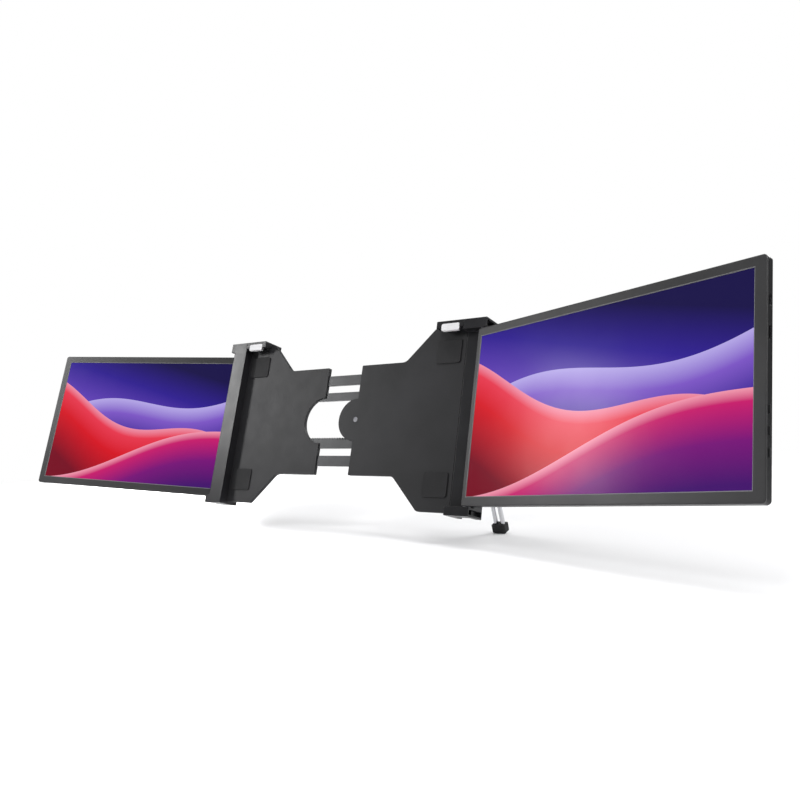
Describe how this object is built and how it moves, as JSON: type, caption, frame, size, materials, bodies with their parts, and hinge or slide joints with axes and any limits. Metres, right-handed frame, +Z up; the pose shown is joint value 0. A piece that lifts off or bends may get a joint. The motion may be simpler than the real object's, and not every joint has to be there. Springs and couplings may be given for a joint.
{
  "type": "laptop screen extender",
  "caption": "Clip-on display bracket with sliding plates, over-lid hooks, a folding display on each side and a telescoping kickstand.",
  "frame": {"origin": "centre of the plane where the plates' pads meet the back of the lid, at mid-height of the posts, with the plates drawn out as shown", "axes": "+X to the user's right, +Y away from the user, +Z up; the bracket leans back by 16 degrees with the lid it hangs on"},
  "size_m": [0.9635, 0.179, 0.242],
  "materials": {
    "post_plastic": "fine satin moulded texture",
    "plate_plastic": "grained matte",
    "tray_plastic": "smooth matte",
    "strap_steel": "black coated strip",
    "pinion_nylon": "moulded nylon",
    "gloss_black": "polished",
    "disc_rim": "satin",
    "white_silicone": "soft satin",
    "black_silicone": "soft matte",
    "steel": "turned",
    "leg_aluminium": "satin anodised",
    "rod_chrome": "polished",
    "bezel_plastic": "satin",
    "case_plastic": "fine matte grain",
    "display_glass": "lit picture under glass",
    "module_steel": "pressed sheet",
    "board": "solder mask",
    "button_plastic": "satin"
  },
  "bodies": {
    "right_half": {"right_post": "post_plastic", "right_hook": "post_plastic", "right_hook_screws": "steel", "right_lip_sleeve": "white_silicone", "right_plate_tray": "tray_plastic", "right_plate_cover": "plate_plastic", "right_back_pads": "black_silicone", "upper_outer_strap": "strap_steel", "lower_outer_strap": "strap_steel", "disc_ring": "disc_rim", "disc_cap": "gloss_black", "pinion_axle": "steel", "leg_pivot_pin": "steel"},
    "left_half": {"left_post": "post_plastic", "left_hook": "post_plastic", "left_hook_screws": "steel", "left_lip_sleeve": "white_silicone", "left_plate_tray": "tray_plastic", "left_plate_cover": "plate_plastic", "left_back_pads": "black_silicone", "upper_inner_strap": "strap_steel", "rack_strap": "strap_steel"},
    "pinion": {"pinion": "pinion_nylon"},
    "right_screen": {"right_back_cover": "case_plastic", "right_bezel": "bezel_plastic", "right_display": "display_glass", "right_panel_module": "module_steel", "right_driver_board": "board", "right_ports": "steel", "right_upper_pin": "steel", "right_lower_pin": "steel"},
    "left_screen": {"left_back_cover": "case_plastic", "left_bezel": "bezel_plastic", "left_display": "display_glass", "left_panel_module": "module_steel", "left_driver_board": "board", "left_ports": "steel", "left_upper_pin": "steel", "left_lower_pin": "steel"},
    "leg": {"leg_bar": "leg_aluminium"},
    "leg_rods": {"leg_rods": "rod_chrome", "leg_foot": "black_silicone"},
    "leg_lock_button": {"leg_lock_button": "leg_aluminium"},
    "right_power_button": {"right_power_button": "button_plastic"},
    "right_menu_button": {"right_menu_button": "button_plastic"},
    "right_select_button": {"right_select_button": "button_plastic"},
    "left_power_button": {"left_power_button": "button_plastic"},
    "left_menu_button": {"left_menu_button": "button_plastic"},
    "left_select_button": {"left_select_button": "button_plastic"}
  },
  "joints": [
    {"name": "plate_slide", "type": "slide", "parent": "right_half", "child": "left_half", "axis": [-1, 0, 0], "range_m": [-0.03, 0.04]},
    {"name": "pinion_spin", "type": "hinge", "parent": "right_half", "child": "pinion", "pos_m": [0.025, 0.00327, -0.00094], "axis": [0, 0.9613, -0.2756], "range_deg": [-80, 107]},
    {"name": "right_screen_hinge", "type": "hinge", "parent": "right_half", "child": "right_screen", "pos_m": [0.186, -0.00484, 0.00035], "axis": [0, 0.2756, 0.9613], "range_deg": [-163, 30]},
    {"name": "left_screen_hinge", "type": "hinge", "parent": "left_half", "child": "left_screen", "pos_m": [-0.186, 0.01294, -0.00475], "axis": [0, 0.2756, 0.9613], "range_deg": [-193.5, 54]},
    {"name": "leg_swing", "type": "hinge", "parent": "right_half", "child": "leg", "pos_m": [0.1759, 0.01469, 0.00515], "axis": [1, 0, 0], "range_deg": [-33, 27]},
    {"name": "leg_extend", "type": "slide", "parent": "leg", "child": "leg_rods", "axis": [0, 0.2924, -0.9563], "range_m": [-0.0277, 0.008]},
    {"name": "leg_lock_press", "type": "slide", "parent": "leg", "child": "leg_lock_button", "axis": [0, -0.9563, -0.2924], "range_m": [0, 0.0009], "stiffness_N_per_m": 900, "springref_m": -0.001},
    {"name": "right_power_button_press", "type": "slide", "parent": "right_screen", "child": "right_power_button", "axis": [-0.9563, 0.281, -0.0806], "range_m": [0, 0.0004], "stiffness_N_per_m": 700, "springref_m": -0.0008},
    {"name": "right_menu_button_press", "type": "slide", "parent": "right_screen", "child": "right_menu_button", "axis": [-0.9563, 0.281, -0.0806], "range_m": [0, 0.0004], "stiffness_N_per_m": 700, "springref_m": -0.0008},
    {"name": "right_select_button_press", "type": "slide", "parent": "right_screen", "child": "right_select_button", "axis": [-0.9563, 0.281, -0.0806], "range_m": [0, 0.0004], "stiffness_N_per_m": 700, "springref_m": -0.0008},
    {"name": "left_power_button_press", "type": "slide", "parent": "left_screen", "child": "left_power_button", "axis": [0.9724, 0.2244, -0.0643], "range_m": [0, 0.0004], "stiffness_N_per_m": 700, "springref_m": -0.0008},
    {"name": "left_menu_button_press", "type": "slide", "parent": "left_screen", "child": "left_menu_button", "axis": [0.9724, 0.2244, -0.0643], "range_m": [0, 0.0004], "stiffness_N_per_m": 700, "springref_m": -0.0008},
    {"name": "left_select_button_press", "type": "slide", "parent": "left_screen", "child": "left_select_button", "axis": [0.9724, 0.2244, -0.0643], "range_m": [0, 0.0004], "stiffness_N_per_m": 700, "springref_m": -0.0008}
  ],
  "couplings": [
    {"joint": "pinion_spin", "follows": "plate_slide", "rad_per_m": 46.296}
  ]
}
